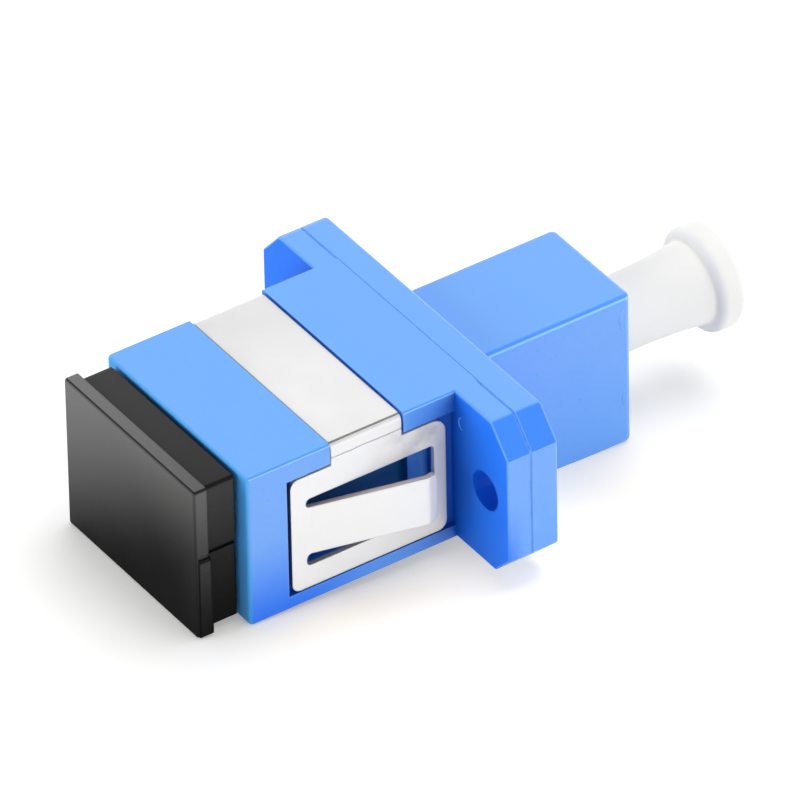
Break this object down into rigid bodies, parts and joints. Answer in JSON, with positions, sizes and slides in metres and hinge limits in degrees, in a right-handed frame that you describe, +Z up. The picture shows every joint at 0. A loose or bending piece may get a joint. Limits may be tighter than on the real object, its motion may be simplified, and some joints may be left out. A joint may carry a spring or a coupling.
{
  "type": "hybrid fibre adapter",
  "caption": "Flanged fibre-optic adapter that joins a large square push-pull port to a small latched port, with a spring panel clip and a dust cap in each port.",
  "frame": {"origin": "on the optical axis, in the plane where the two halves of the flange meet, which is also the centre of the two screw holes", "axes": "+X along the optical axis towards the small port, +Y across the flange, +Z up, away from the small port's latch channel"},
  "size_m": [0.036, 0.022, 0.0109],
  "materials": {
    "blue_plastic": "satin moulded",
    "insert_plastic": "plain moulded",
    "ceramic": "polished zirconia ceramic",
    "spring_steel": "bright rolled stainless sheet",
    "black_plastic": "smooth moulded",
    "white_plastic": "soft moulded, slightly waxy"
  },
  "bodies": {
    "adapter": {"large_port_housing": "blue_plastic", "small_port_housing": "blue_plastic", "latch_insert": "insert_plastic", "sleeve_holder": "insert_plastic", "alignment_sleeve": "ceramic", "panel_clip": "spring_steel"},
    "cap": {"large_port_cap": "black_plastic"},
    "plug": {"small_port_plug": "white_plastic"}
  },
  "joints": [
    {"name": "cap_pull", "type": "slide", "parent": "adapter", "child": "cap", "axis": [-1, 0, 0], "range_m": [-0.00025, 0.02]},
    {"name": "plug_pull", "type": "slide", "parent": "adapter", "child": "plug", "axis": [1, 0, 0], "range_m": [0, 0.02]}
  ]
}
